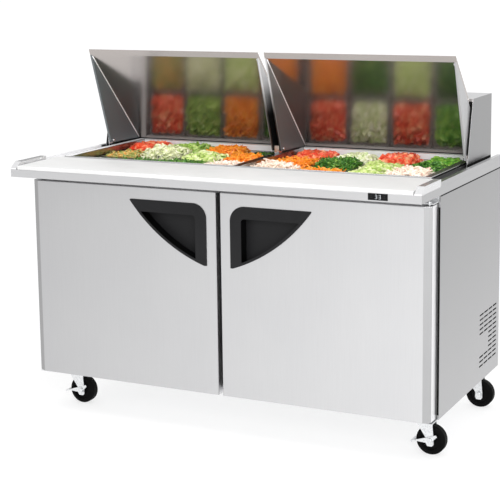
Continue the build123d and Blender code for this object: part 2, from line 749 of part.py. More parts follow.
def control_box():
    box = block(150.0, 290.0, 330.0, 428.0, 300.0, 420.0)
    return fillet(box.edges().filter_by(Axis.Y), 6.0)


def cord_gland():
    """Gland in the back panel that the supply cord would leave by, with a clear bore."""
    x, z = 620.0, 230.0
    flange_t = 2.0
    nut_t = 6.0
    gland = rod(9.6, (x, REAR_Y - SHEET - 16, z), (0, 1, 0), SHEET + 16 + flange_t)
    gland += rod(14.0, (x, REAR_Y, z), (0, 1, 0), flange_t)
    gland += rod(14.0, (x, REAR_Y - SHEET - nut_t, z), (0, 1, 0), nut_t)
    gland -= rod(5.0, (x, REAR_Y - 30, z), (0, 1, 0), 40.0)
    return gland


# ---- casters ----
def caster_places():
    """Name and stem position of each caster."""
    names = {(-1, 0): "front_left", (1, 0): "front_right", (-1, 1): "rear_left", (1, 1): "rear_right"}
    return [(names[(side, end)], side * STEM_X, STEM_Y[end]) for side in (-1, 1) for end in (0, 1)]


def caster_plates():
    """Top plates bolted under the cabinet, each with its race ring and king pin."""
    plates = []
    for name, x, y in caster_places():
        plate = block(x - 48, x + 48, y - 40, y + 40, CABINET_BOTTOM - 3, CABINET_BOTTOM)
        plate += rod(27.0, (x, y, CABINET_BOTTOM - 3), (0, 0, -1), CABINET_BOTTOM - 3 - CROWN_Z1 - 0.4)
        plate += rod(AXLE_R, (x, y, CABINET_BOTTOM - 3), (0, 0, -1), CABINET_BOTTOM - 3 - CROWN_Z0 + 4)
        plate += rod(9.0, (x, y, CROWN_Z0 - 0.5), (0, 0, -1), 4.0)
        plates.append(plate)
    return plates


def caster_fork(x, y):
    """Crown and two legs that carry the axle behind the king pin."""
    axle_x = x + TRAIL
    crown = Pos(x, y, (CROWN_Z0 + CROWN_Z1) / 2) * Cylinder(30.0, CROWN_Z1 - CROWN_Z0)
    crown += block(x, x + 34, y - FORK_HALF - FORK_T, y + FORK_HALF + FORK_T, CROWN_Z0, CROWN_Z1)
    fork = crown - rod(AXLE_R + RUNNING, (x, y, CROWN_Z0 - 1), (0, 0, 1), CROWN_Z1 - CROWN_Z0 + 2)
    leg_points = [(x - 24, CROWN_Z0 + 2), (x + 34, CROWN_Z0 + 2), (axle_x + 13, WHEEL_R + 8)]
    leg_points += [(axle_x + 13, WHEEL_R - 13), (axle_x + 7, WHEEL_R - 20)]
    leg_points += [(axle_x - 9, WHEEL_R - 20), (axle_x - 14, WHEEL_R - 12), (axle_x - 13, WHEEL_R + 6)]
    for y0 in (y - FORK_HALF - FORK_T, y + FORK_HALF):
        plane = Plane(origin=(0, y0, 0), x_dir=(1, 0, 0), z_dir=(0, -1, 0))
        fork += extrude(plane * make_face(Polyline(*leg_points, close=True)), -FORK_T)
    return fork


def caster_axle(x, y):
    reach = FORK_HALF + FORK_T + 5.0
    axle = rod(AXLE_R, (x + TRAIL, y - reach, WHEEL_R), (0, 1, 0), 2 * reach)
    for y0, direction in ((y - reach, -1), (y + reach, 1)):
        axle += rod(9.0, (x + TRAIL, y0, WHEEL_R), (0, direction, 0), 4.0)
    return axle


def caster_wheel(x, y):
    """Tyre and hub in one moulding, dished on both faces, bored for the axle."""
    tread = Pos(0, 0, -WHEEL_W / 2) * Cylinder(WHEEL_R, WHEEL_W, align=(Align.CENTER, Align.CENTER, Align.MIN))
    tread = fillet(tread.edges(), 5.0)
    for z0 in (-WHEEL_W / 2 - 1, WHEEL_W / 2 - 5):
        ring = Pos(0, 0, z0) * Cylinder(36.0, 6.0, align=(Align.CENTER, Align.CENTER, Align.MIN))
        ring -= Pos(0, 0, z0 - 1) * Cylinder(15.0, 9.0, align=(Align.CENTER, Align.CENTER, Align.MIN))
        tread -= ring
    tread -= Cylinder(AXLE_R + RUNNING, WHEEL_W * 2)
    return Plane(origin=(x + TRAIL, y, WHEEL_R), z_dir=(0, 1, 0)) * tread


def caster_brake(x, y):
    """Rocker pedal on two arms that turn on the axle, with its tread beyond the wheel."""
    axle_x = x + TRAIL
    arm_t = 2.5
    arm_y = FORK_HALF + FORK_T + 0.8
    half = arm_y + arm_t
    arm_points = [(-68, -8), (-65, -13), (-48, -6), (-12, -8), (10, -8), (14, 4), (26, 16), (22, 22), (6, 16)]
    tread_points = [(-68, -8), (-65, -13), (-55, -9), (-55, -3.8)]
    plane = Plane(origin=(axle_x, y - half, WHEEL_R), x_dir=(1, 0, 0), z_dir=(0, -1, 0))
    pedal = extrude(plane * make_face(Polyline(*tread_points, close=True)), -2 * half)
    for y0 in (y - half, y + arm_y):
        plane = Plane(origin=(axle_x, y0, WHEEL_R), x_dir=(1, 0, 0), z_dir=(0, -1, 0))
        arm = extrude(plane * make_face(Polyline(*arm_points, close=True)), -arm_t)
        arm += rod(12.0, (axle_x, y0, WHEEL_R), (0, 1, 0), arm_t)
        arm -= rod(AXLE_R + RUNNING, (axle_x, y0 - 1, WHEEL_R), (0, 1, 0), arm_t + 2)
        pedal += arm
    return pedal


# ---- write every node ----
def write_sides():
    for side, word in ((-1, "left"), (1, "right")):
        save(side_panel(side), "side_panel_" + word)
        save_group(food_pans(side), "food_pans_" + word)
        save(lid_panel(side), "lid_panel_" + word)
        save_group(lid_cheeks(side), "lid_cheeks_" + word)
        save(door_skin(side), "door_skin_" + word)
        save(door_core(side), "door_core_" + word)
        save(door_liner(side), "door_liner_" + word)
        save(door_gasket(side), "door_gasket_" + word)
        save(door_grip(side), "door_grip_" + word)


def write_casters():
    for name, x, y in caster_places():
        save_group([caster_fork(x, y), caster_axle(x, y)], "caster_fork_" + name)
        save(caster_wheel(x, y), "caster_wheel_" + name)
        if name.startswith("front"):
            save(caster_brake(x, y), "caster_brake_" + name)


os.makedirs("parts", exist_ok=True)
write_sides()
write_casters()
save(back_panel(), "back_panel")
save(base_tray(), "base_tray")
save(front_frame(), "front_frame")
save(cabinet_liner(), "cabinet_liner")
save_group(insulation_sides(), "insulation_sides")
save(insulation_floor(), "insulation_floor")
save(insulation_rear(), "insulation_rear")
save(countertop(), "countertop")
save(digital_display(), "digital_display")
save_group(board_brackets(), "board_brackets")
save_group(bracket_screws(), "bracket_screws")
save(cutting_board(), "cutting_board")
save(pan_rail(), "pan_rail")
save_group(pan_support_bars(), "pan_support_bars")
save(hood_box(), "hood_box")
save(hood_base_strip(), "hood_base_strip")
save_group(lid_pivot_posts(), "lid_pivot_posts")
save_group(door_hinge_brackets(), "door_hinge_brackets")
save_group(shelves(), "shelves")
save_group(shelf_clips(), "shelf_clips")
save(evaporator_coil(), "evaporator_coil")
save(evaporator_cover(), "evaporator_cover")
save(evaporator_fan(), "evaporator_fan")
save_group(fan_motors(), "fan_motors")
save(condenser_fan(), "condenser_fan")
save(compressor(), "compressor")
save(condenser_coil(), "condenser_coil")
save_group(refrigerant_tubing(), "refrigerant_tubing")
save(drain_pan(), "drain_pan")
save(control_box(), "control_box")
save(cord_gland(), "cord_gland")
save_group(caster_plates(), "caster_plates")
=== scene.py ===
import json
import math
import random

import bmesh
import bpy
from mathutils import Matrix, Vector


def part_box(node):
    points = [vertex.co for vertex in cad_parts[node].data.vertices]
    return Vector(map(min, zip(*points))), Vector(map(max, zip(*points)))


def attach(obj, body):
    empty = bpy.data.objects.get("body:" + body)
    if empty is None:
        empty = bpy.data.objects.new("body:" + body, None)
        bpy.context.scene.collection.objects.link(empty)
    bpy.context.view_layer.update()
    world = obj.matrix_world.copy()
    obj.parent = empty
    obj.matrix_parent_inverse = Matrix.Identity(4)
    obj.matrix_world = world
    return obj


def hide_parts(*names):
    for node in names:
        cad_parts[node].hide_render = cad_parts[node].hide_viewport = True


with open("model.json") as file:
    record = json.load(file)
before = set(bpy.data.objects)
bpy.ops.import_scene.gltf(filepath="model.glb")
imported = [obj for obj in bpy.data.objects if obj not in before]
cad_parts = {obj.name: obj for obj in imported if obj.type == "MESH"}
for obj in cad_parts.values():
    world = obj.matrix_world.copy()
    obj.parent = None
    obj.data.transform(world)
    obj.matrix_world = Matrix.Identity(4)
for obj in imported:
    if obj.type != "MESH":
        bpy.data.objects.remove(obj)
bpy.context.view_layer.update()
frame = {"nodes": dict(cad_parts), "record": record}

nodes = frame["nodes"]
SIDES = ("left", "right")
SIGNS = (("left", -1), ("right", 1))
MM = 0.001
EVEN = (1.0, 1.0, 1.0)
WHITE = (1.0, 1.0, 1.0, 1.0)

# Sizes of the solids that looks and visual pieces are fitted to, in metres.
# Distance of a lid's outer and inner edge from the middle, and thickness of its end plates.
LID_OUT, LID_IN = 0.720, 0.012
CHEEK_T = 0.008
# Thickness of the rail's end walls and rear wall, and half that of its divider.
RAIL_WALL = 0.025
REAR_WALL = 0.010
DIVIDER_HALF = 0.015


# ---- shader helpers ----
def new_material(name, color, metallic=0.0, roughness=0.5, **sockets):
    """A material with a principled shader, and its node tree."""
    material = bpy.data.materials.new(name)
    material.use_nodes = True
    tree = material.node_tree
    shader = tree.nodes["Principled BSDF"]
    shader.inputs["Base Color"].default_value = (*color, 1.0)
    shader.inputs["Metallic"].default_value = metallic
    shader.inputs["Roughness"].default_value = roughness
    for key, value in sockets.items():
        shader.inputs[key.replace("_", " ")].default_value = value
    return material, tree, shader


def noise(tree, stretch, scale, detail=4.0, rough=0.55):
    """Noise in object space, stretched along the axis whose factor is small."""
    coords = tree.nodes.new("ShaderNodeTexCoord")
    mapping = tree.nodes.new("ShaderNodeMapping")
    mapping.inputs["Scale"].default_value = stretch
    texture = tree.nodes.new("ShaderNodeTexNoise")
    texture.inputs["Scale"].default_value = scale
    texture.inputs["Detail"].default_value = detail
    texture.inputs["Roughness"].default_value = rough
    tree.links.new(coords.outputs["Object"], mapping.inputs["Vector"])
    tree.links.new(mapping.outputs["Vector"], texture.inputs["Vector"])
    return texture.outputs["Fac"]


def ramp(tree, source, low, high, start=0.3, end=0.7):
    """Maps a 0 to 1 value to the grey or colour range from low to high."""
    node = tree.nodes.new("ShaderNodeValToRGB")
    low = low if isinstance(low, tuple) else (low,) * 3
    high = high if isinstance(high, tuple) else (high,) * 3
    node.color_ramp.elements[0].position = start
    node.color_ramp.elements[1].position = end
    node.color_ramp.elements[0].color = (*low, 1.0)
    node.color_ramp.elements[1].color = (*high, 1.0)
    tree.links.new(source, node.inputs["Fac"])
    return node.outputs["Color"]


def mix_colors(tree, mode, factor, first, second):
    """Two colours blended in one of the mix node's modes."""
    node = tree.nodes.new("ShaderNodeMix")
    node.data_type = "RGBA"
    node.blend_type = mode
    node.inputs["Factor"].default_value = factor
    tree.links.new(first, node.inputs[6])
    tree.links.new(second, node.inputs[7])
    return node.outputs[2]


def bump(tree, shader, source, strength, distance):
    """Fine relief on a shader from a grey value."""
    node = tree.nodes.new("ShaderNodeBump")
    node.inputs["Strength"].default_value = strength
    node.inputs["Distance"].default_value = distance
    tree.links.new(source, node.inputs["Height"])
    tree.links.new(node.outputs["Normal"], shader.inputs["Normal"])


def calc(tree, operation, *values):
    """Output of a math node whose inputs are sockets or numbers."""
    node = tree.nodes.new("ShaderNodeMath")
    node.operation = operation
    for socket, value in zip(node.inputs, values):
        if isinstance(value, float):
            socket.default_value = value
        else:
            tree.links.new(value, socket)
    return node.outputs[0]


def object_place(tree):
    """X, Y and Z of the shaded point in the object's own space."""
    coords = tree.nodes.new("ShaderNodeTexCoord")
    split = tree.nodes.new("ShaderNodeSeparateXYZ")
    tree.links.new(coords.outputs["Object"], split.inputs["Vector"])
    return split.outputs


def facing_shade(tree, factors, bend=0.0):
    """Grey factor of painted shade by which way a face looks: one each for X, Y and Z, and painted shade on
    upright bends.
    """
    coords = tree.nodes.new("ShaderNodeTexCoord")
    square = tree.nodes.new("ShaderNodeVectorMath")
    square.operation = "MULTIPLY"
    tree.links.new(coords.outputs["Normal"], square.inputs[0])
    tree.links.new(coords.outputs["Normal"], square.inputs[1])
    weigh = tree.nodes.new("ShaderNodeVectorMath")
    weigh.operation = "DOT_PRODUCT"
    weigh.inputs[1].default_value = factors
    tree.links.new(square.outputs["Vector"], weigh.inputs[0])
    if not bend:
        return weigh.outputs["Value"]
    split = tree.nodes.new("ShaderNodeSeparateXYZ")
    tree.links.new(square.outputs["Vector"], split.inputs["Vector"])
    # Painted shade on the bends between faces that look along X and along Y.
    corner = calc(tree, "MULTIPLY", split.outputs["X"], split.outputs["Y"])
    darker = calc(tree, "MULTIPLY_ADD", corner, -4.0 * bend, 1.0)
    return calc(tree, "MULTIPLY", weigh.outputs["Value"], darker)


def painted_gradient(tree, axis, start, end, low, high):
    """Grey value of painted light and shade that goes from low at start to high at end along one axis of the
    object.
    """
    slope = 1.0 / (end - start)
    place = calc(tree, "MULTIPLY_ADD", object_place(tree)[axis.upper()], slope, -start * slope)
    return ramp(tree, place, low, high, 0.0, 1.0)


# ---- materials ----
GRAIN_ACROSS = 1100.0
GRAIN_ALONG = 9.0


def brushed_steel(name, grain, tone=0.72, rough=0.3, smudge=0.06, factors=EVEN, tint=(1.0, 1.0, 1.01),
                  metallic=1.0, bend=0.0, painted_light_ramp=None):
    """Brushed sheet steel: fine streaks along one axis and faint handling smudges, and where asked painted
    light and shade.

    factors and bend give painted shade by which way a face looks, and the last argument holds the axis, ends
    and greys of a painted light and shade gradient.
    """
    material, tree, shader = new_material(name, tuple(tone * t for t in tint), metallic, rough)
    stretch = [GRAIN_ACROSS] * 3
    stretch["xyz".index(grain)] = GRAIN_ALONG
    streaks = noise(tree, stretch, 1.0, 3.0, 0.6)
    clouds = noise(tree, EVEN, 3.5, 3.0, 0.5)
    dark, light = (tuple(tone * t * level for t in tint) for level in (0.975, 1.025))
    fine_tone = ramp(tree, streaks, dark, light)
    cloud_tone = ramp(tree, clouds, (0.965, 0.965, 0.97), EVEN)
    color = mix_colors(tree, "MULTIPLY", 1.0, fine_tone, cloud_tone)
    # Painted shade by which way a face looks, and on bends.
    if min(factors) < 1.0 or bend:
        color = mix_colors(tree, "MULTIPLY", 1.0, color, facing_shade(tree, factors, bend))
    # Painted light and shade: a grey gradient along one axis of the object.
    if painted_light_ramp:
        color = mix_colors(tree, "MULTIPLY", 1.0, color, painted_gradient(tree, *painted_light_ramp))
    tree.links.new(color, shader.inputs["Base Color"])
    fine_rough = ramp(tree, streaks, rough - 0.03, rough + 0.04)
    cloud_rough = ramp(tree, clouds, 1.0 - smudge, 1.0)
    tree.links.new(mix_colors(tree, "MULTIPLY", 1.0, fine_rough, cloud_rough), shader.inputs["Roughness"])
    bump(tree, shader, streaks, 0.10, 0.00002)
    return material


# Painted light and shade on the lids' end plates: the faintly blue grey of the painted shade on the inner
# faces, the grey of the painted light on the outer faces, the painted shade low in the slot between the
# lids, and the heights where that shade fades out.
END_SHADED = (0.225, 0.25, 0.262)
END_LIT = 0.68
GAP_SHADE = 0.02
GAP_SHADE_BELOW = 1.09
GAP_LIT_ABOVE = 1.20


def lid_end_steel(name):
    """Steel of the lids' end plates with painted light and shade: painted shade on the inner faces, painted
    light on the outer faces, and painted dark shade low down in the slot between the lids.
    """
    material = brushed_steel(name, "y", tone=0.64, rough=0.36, metallic=0.25)
    tree = material.node_tree
    shader = tree.nodes["Principled BSDF"]
    place = object_place(tree)
    right = place["X"]
    left = calc(tree, "MULTIPLY", right, -1.0)
    size = calc(tree, "ABSOLUTE", right)
    # A colour ramp only takes 0 to 1, so heights are halved.
    half_height = calc(tree, "MULTIPLY", place["Z"], 0.5)
    outer_inside = LID_OUT - CHEEK_T
    gap_inside = LID_IN + CHEEK_T
    # Painted shade on the inner faces and painted light on the outer faces.
    outside_right = ramp(tree, right, END_SHADED, END_LIT, outer_inside + 0.0002, outer_inside + 0.0008)
    outside_left = ramp(tree, left, END_SHADED, END_LIT, LID_OUT - 0.0010, LID_OUT - 0.0004)
    in_gap = ramp(tree, size, 1.0, 0.0, gap_inside - 0.0008, gap_inside - 0.0002)
    off_gap = ramp(tree, size, 0.0, 1.0, gap_inside - 0.0008, gap_inside - 0.0002)
    # Painted shade low down in the slot between the lids.
    upward = ramp(tree, half_height, GAP_SHADE, 1.0, GAP_SHADE_BELOW / 2, GAP_LIT_ABOVE / 2)
    bright = mix_colors(tree, "LIGHTEN", 1.0, outside_right, outside_left)
    bright = mix_colors(tree, "LIGHTEN", 1.0, bright, in_gap)
    between = mix_colors(tree, "LIGHTEN", 1.0, off_gap, upward)
    shade = mix_colors(tree, "MULTIPLY", 1.0, bright, between)
    steel = shader.inputs["Base Color"].links[0].from_socket
    tree.links.new(mix_colors(tree, "MULTIPLY", 1.0, steel, shade), shader.inputs["Base Color"])
    return material


def plastic(name, color, rough, spread=0.12, factors=EVEN, grain_scale=900.0):
    """Moulded plastic with a fine even texture and a little change of tone, and where asked painted shade by
    which way a face looks.
    """
    material, tree, shader = new_material(name, color, 0.0, rough)
    grain = noise(tree, EVEN, grain_scale, 2.0, 0.5)
    wear = noise(tree, EVEN, 12.0, 4.0, 0.6)
    dark = tuple(c * (1 - spread) for c in color)
    light = tuple(min(1.0, c * (1 + spread)) for c in color)
    tone = ramp(tree, wear, dark, light)
    # Painted shade on faces by which way they look.
    if min(factors) < 1.0:
        tone = mix_colors(tree, "MULTIPLY", 1.0, tone, facing_shade(tree, factors))
        shader.inputs["Specular IOR Level"].default_value = 0.2
    tree.links.new(tone, shader.inputs["Base Color"])
    tree.links.new(ramp(tree, wear, rough - 0.05, rough + 0.08), shader.inputs["Roughness"])
    bump(tree, shader, grain, 0.35, 0.00004)
    return material


def cutting_plastic(name):
    """White polyethylene board with fine knife marks in several directions."""
    material, tree, shader = new_material(name, (0.72, 0.72, 0.71), 0.0, 0.42)
    marks_a = noise(tree, (4.0, 700.0, 1.0), 1.0, 5.0, 0.6)
    marks_b = noise(tree, (500.0, 9.0, 1.0), 1.0, 5.0, 0.6)
    clouds = noise(tree, EVEN, 7.0, 3.0, 0.5)
    tree.links.new(ramp(tree, clouds, (0.69, 0.69, 0.685), (0.74, 0.74, 0.737)), shader.inputs["Base Color"])
    tree.links.new(ramp(tree, marks_a, 0.38, 0.52), shader.inputs["Roughness"])
    both = mix_colors(tree, "MIX", 0.5, marks_a, marks_b)
    bump(tree, shader, both, 0.12, 0.0002)
    return material


def zinc(name):
    """Zinc-plated pressed steel with a faint spangle."""
    material, tree, shader = new_material(name, (0.72, 0.73, 0.75), 1.0, 0.36)
    coords = tree.nodes.new("ShaderNodeTexCoord")
    cells = tree.nodes.new("ShaderNodeTexVoronoi")
    cells.inputs["Scale"].default_value = 160.0
    tree.links.new(coords.outputs["Object"], cells.inputs["Vector"])
    tone = ramp(tree, cells.outputs["Distance"], (0.62, 0.63, 0.65), (0.84, 0.85, 0.86), 0.05, 0.6)
    tree.links.new(tone, shader.inputs["Base Color"])
    tree.links.new(ramp(tree, cells.outputs["Distance"], 0.3, 0.46, 0.1, 0.9), shader.inputs["Roughness"])
    bump(tree, shader, noise(tree, EVEN, 350.0), 0.15, 0.0001)
    return material


def rubber(name, tone=0.02, rough=0.6):
    """Dull black rubber with a little dust."""
    material, tree, shader = new_material(name, (tone, tone, tone), 0.0, rough, Specular_IOR_Level=0.04)
    dust = noise(tree, EVEN, 60.0, 5.0, 0.6)
    tree.links.new(ramp(tree, dust, (tone * 0.8,) * 3, (tone * 1.5,) * 3), shader.inputs["Base Color"])
    tree.links.new(ramp(tree, dust, rough - 0.1, rough + 0.15), shader.inputs["Roughness"])
    bump(tree, shader, noise(tree, EVEN, 1200.0), 0.25, 0.00008)
    return material


def foam(name):
    """Yellowish insulating foam with open cells."""
    material, tree, shader = new_material(name, (0.83, 0.76, 0.55), 0.0, 0.9)
    cells = noise(tree, EVEN, 500.0)
    tree.links.new(ramp(tree, cells, (0.72, 0.65, 0.45), (0.88, 0.82, 0.6)), shader.inputs["Base Color"])
    bump(tree, shader, cells, 0.6, 0.0008)
    return material


def copper(name):
    """Copper tubing with patches of tarnish."""
    material, tree, shader = new_material(name, (0.72, 0.42, 0.28), 1.0, 0.32)
    tarnish = noise(tree, EVEN, 40.0)
    tree.links.new(ramp(tree, tarnish, (0.45, 0.24, 0.15), (0.78, 0.47, 0.32)), shader.inputs["Base Color"])
    tree.links.new(ramp(tree, tarnish, 0.5, 0.28), shader.inputs["Roughness"])
    return material


def gloss_black(name):
    """Black display plastic with a faint haze."""
    material, tree, shader = new_material(name, (0.006, 0.006, 0.007), 0.0, 0.3, Specular_IOR_Level=0.15)
    haze = noise(tree, EVEN, 50.0)
    tree.links.new(ramp(tree, haze, 0.22, 0.36), shader.inputs["Roughness"])
    return material


def glow(name, color, strength):
    """Plain plastic that glows in its own colour."""
    material, _, shader = new_material(name, color, 0.0, 0.4)
    shader.inputs["Emission Color"].default_value = (*color, 1.0)
    shader.inputs["Emission Strength"].default_value = strength
    return material


def painted_black(name):
    """Black enamel of the motors and the compressor."""
    material, tree, shader = new_material(name, (0.03, 0.03, 0.03), 0.0, 0.35, Coat_Weight=0.4)
    peel = noise(tree, EVEN, 220.0)
    tree.links.new(ramp(tree, peel, (0.02, 0.02, 0.02), (0.045, 0.045, 0.045)), shader.inputs["Base Color"])
    bump(tree, shader, peel, 0.3, 0.0002)
    return material


MATERIALS = {
    # Doors: painted light on faces that look along X, painted shade on the bends, and painted shade darker
    # towards the left.
    "casing_up": brushed_steel("casing_up", "z", tone=0.705, rough=0.34, factors=(1.3, 1.0, 1.0), bend=0.55,
                               painted_light_ramp=("x", -0.75, 0.75, 0.77, 1.0)),
    # Top and hood: painted shade by which way a face looks, strongest on faces that look along X.
    "casing_across": brushed_steel("casing_across", "x", tone=0.72, rough=0.32, factors=(0.62, 0.91, 0.9)),
    "hood": brushed_steel("hood", "x", tone=0.72, rough=0.32, factors=(0.39, 0.91, 0.9)),
    # Side and back panels: a shaded copy of the casing steel, with painted shade darker towards the top.
    "casing_side": brushed_steel("casing_side", "z", tone=0.476, rough=0.36,
                                 painted_light_ramp=("z", 0.15, 0.90, 1.0, 0.75)),
    # Brackets: a lit, brighter copy of the casing steel, with painted shade on faces that look along X and
    # Z.
    "bracket": brushed_steel("bracket", "y", tone=0.95, rough=0.24, factors=(0.70, 1.0, 0.5), metallic=0.5),
    # Rail cap: painted shade, darker towards the rear. Channel: a dark sheet of painted shade.
    "rail_cap": brushed_steel("rail_cap", "y", tone=0.62, rough=0.3, painted_light_ramp=("y", -0.17, 0.30, 1.0, 0.3)),
    "channel_shade": brushed_steel("channel_shade", "y", tone=0.13, rough=0.45, metallic=0.6),
    "pan": brushed_steel("pan", "x", tone=0.42, rough=0.28),
    # Lids: the warm tint is a painted reflection of the food.
    "lid": brushed_steel("lid", "x", tone=0.45, rough=0.19, smudge=0.15, tint=(1.045, 0.965, 0.92),
                         metallic=0.97),
    "lid_ends": lid_end_steel("lid_ends"),
    # Rail: painted shade on faces that look along X and Z.
    "rail": brushed_steel("rail", "x", tone=0.66, rough=0.26, factors=(0.26, 1.0, 0.2)),
    # A bright copy of the steel that paints light, and a dark copy that paints shade on the wells' side
    # walls.
    "well": brushed_steel("well", "x", tone=0.95, rough=0.42, smudge=0.04, metallic=0.2),
    "well_side": brushed_steel("well_side", "y", tone=0.45, rough=0.26),
    "galvanised": zinc("galvanised"),
    "zinc": zinc("zinc"),
    "bolt": brushed_steel("bolt", "x", tone=0.7, rough=0.22),
    "liner": brushed_steel("liner", "x", tone=0.78, rough=0.42),
    "fins": brushed_steel("fins", "z", tone=0.7, rough=0.4),
    "board": cutting_plastic("board"),
    # Grip: painted shade on the pocket walls, which look along X and Z.
    "grip": plastic("grip", (0.013, 0.013, 0.014), 0.45, factors=(0.04, 1.0, 0.04)),
    "white_plastic": plastic("white_plastic", (0.86, 0.86, 0.86), 0.45, 0.04),
    "cover": plastic("cover", (0.5, 0.51, 0.52), 0.5),
    "foam": foam("foam"),
    # Black rubber of the real gaskets, darkened further and also used for strips of painted shade in gaps.
    "gasket": rubber("gasket", 0.008, 0.7),
    "tyre": rubber("tyre", 0.004, 0.5),
    "display": gloss_black("display"),
    "motor": painted_black("motor"),
    "copper": copper("copper"),
}

SLOT_LOOKS = {
    "casing_steel": "casing_across",
    "pan_steel": "pan",
    "lid_steel": "lid",
    "foam": "foam",
    "liner_plastic": "white_plastic",
    "gasket_rubber": "gasket",
    "grip_plastic": "grip",
    "zinc": "zinc",
    "tyre_rubber": "tyre",
    "galvanised": "galvanised",
    "liner_aluminium": "liner",
    "display_plastic": "display",
    "bolt_steel": "bolt",
    "board_plastic": "board",
    "rail_steel": "rail",
    "wire_coating": "white_plastic",
    "fin_aluminium": "fins",
    "cover_plastic": "cover",
    "motor_enamel": "motor",
    "copper": "copper",
}

NODE_LOOKS = {
    "door_skin_left": "casing_up",
    "door_skin_right": "casing_up",
    "side_panel_left": "casing_side",
    "side_panel_right": "casing_side",
    "front_frame": "casing_up",
    "back_panel": "casing_side",
    "hood_box": "hood",
    "board_brackets": "bracket",
    "bracket_screws": "bracket",
    "lid_cheeks_left": "lid_ends",
    "lid_cheeks_right": "lid_ends",
}


def dress_cad_nodes():
    """Puts a look on every CAD node, by its own name or else by its slot."""
    slots = {part["node"]: part["material_slot"] for part in frame["record"]["subparts"]}
    for name, node in nodes.items():
        look = NODE_LOOKS.get(name, SLOT_LOOKS[slots[name]])
        node.data.materials.clear()
        node.data.materials.append(MATERIALS[look])


# ---- mesh helpers ----
def piece_from(name, verts, faces, material, slot=None, body="cabinet", smooth=False):
    """A new piece from vertices and faces in metres, riding on a body."""
    mesh = bpy.data.meshes.new(name)
    mesh.from_pydata(verts, [], faces)
    mesh.validate()
    work = bmesh.new()
    work.from_mesh(mesh)
    bmesh.ops.recalc_face_normals(work, faces=work.faces)
    work.to_mesh(mesh)
    work.free()
    mesh.materials.append(material)
    for polygon in mesh.polygons:
        polygon.use_smooth = smooth
    piece = bpy.data.objects.new(name, mesh)
    bpy.context.scene.collection.objects.link(piece)
    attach(piece, body)
    return piece


def add_bevel(piece, width, segments=2):
    """Rounds the sharp edges of a piece."""
    modifier = piece.modifiers.new("bevel", "BEVEL")
    modifier.width = width
    modifier.segments = segments
    modifier.limit_method = "ANGLE"
    return piece


BOX_FACES = [(0, 1, 3, 2), (4, 6, 7, 5), (0, 4, 5, 1), (2, 3, 7, 6), (0, 2, 6, 4), (1, 5, 7, 3)]


def box_mesh(low, high):
    """Vertices and faces of a box between two corners."""
    verts = [(x, y, z) for x in (low[0], high[0]) for y in (low[1], high[1]) for z in (low[2], high[2])]
    return verts, BOX_FACES


def span(sign, a, b):
    """Two distances from the middle on one side, in rising order."""
    return sorted((sign * a, sign * b))


def joined(parts):
    """One list of vertices and one of faces from several meshes."""
    verts, faces = [], []
    for part_verts, part_faces in parts:
        start = len(verts)
        verts += [tuple(v) for v in part_verts]
        faces += [tuple(start + i for i in face) for face in part_faces]
    return verts, faces


def ring_faces(count, sides):
    """Faces of a closed skin over a row of rings with the same number of points."""
    faces = []
    for i in range(count - 1):
        for j in range(sides):
            a, b = i * sides + j, i * sides + (j + 1) % sides
            faces.append((a, b, b + sides, a + sides))
    faces.append(tuple(reversed(range(sides))))
    faces.append(tuple(range((count - 1) * sides, count * sides)))
    return faces


def circle(centre, turn, radius, sides, rise=0.0):
    """Points of a ring round a centre, in the plane that the turn gives."""
    angles = [2 * math.pi * j / sides for j in range(sides)]
    return [centre + turn @ Vector((radius * math.cos(a), radius * math.sin(a), rise)) for a in angles]


def tube_mesh(points, radius, sides=10):
    """A tube round a line of points, closed at both ends."""
    verts = []
    for i, point in enumerate(points):
        ahead = points[min(i + 1, len(points) - 1)] - points[max(i - 1, 0)]
        verts += circle(point, ahead.to_track_quat("Z", "Y"), radius, sides)
    return verts, ring_faces(len(points), sides)


def dome_mesh(centre, axis, radius, height, sides=18):
    """A low domed screw head with a dimple, on a face whose outward normal is the axis."""
    turn = Vector(axis).to_track_quat("Z", "Y")
    rings = [(1.0, -0.2), (1.0, 0.35), (0.74, 0.85), (0.36, 1.0), (0.26, 0.6)]
    verts = []
    for reach, rise in rings:
        verts += circle(Vector(centre), turn, radius * reach, sides, height * rise)
    return verts, ring_faces(len(rings), sides)


# ---- display ----
DIGITS = 2
DIGIT_H = 0.0118
DIGIT_W = 0.0066
DIGIT_PITCH = 0.0122
DIGIT_OFFSET = 0.0028
STROKE = 0.0012
STROKE_GAP = STROKE * 0.4
RECESS = 0.0014
# Lit segments of the digit 3: column, row, and whether the stroke lies flat.
SEGMENTS = [(0, 2, True), (1, 1, False), (0, 1, True), (1, 0, False), (0, 0, True)]
KEY_W = 0.006
KEY_H = 0.003


def display_digits(low, high):
    """Two seven-segment digits that show a temperature on the controller."""
    middle = (low + high) / 2
    depth = low.y + RECESS
    parts = []
    for index in range(DIGITS):
        x0 = middle.x + (index - 1) * DIGIT_PITCH + DIGIT_OFFSET
        z0 = middle.z - DIGIT_H / 2
        for column, row, flat in SEGMENTS:
            x = x0 + column * DIGIT_W
            z = z0 + row * DIGIT_H / 2
            if flat:
                start = (x + STROKE_GAP, depth - 0.0003, z - STROKE / 2)
                reach = (DIGIT_W, STROKE)
            else:
                start = (x - STROKE / 2, depth - 0.0003, z + STROKE_GAP)
                reach = (STROKE, DIGIT_H / 2)
            end = (start[0] + reach[0] - STROKE_GAP, depth + 0.0004, start[2] + reach[1] - STROKE_GAP)
            parts.append(box_mesh(start, end))
    light = glow("digit_glow", (0.80, 0.84, 0.88), 0.22)
    piece_from("display_digits", *joined(parts), light, "display_plastic")


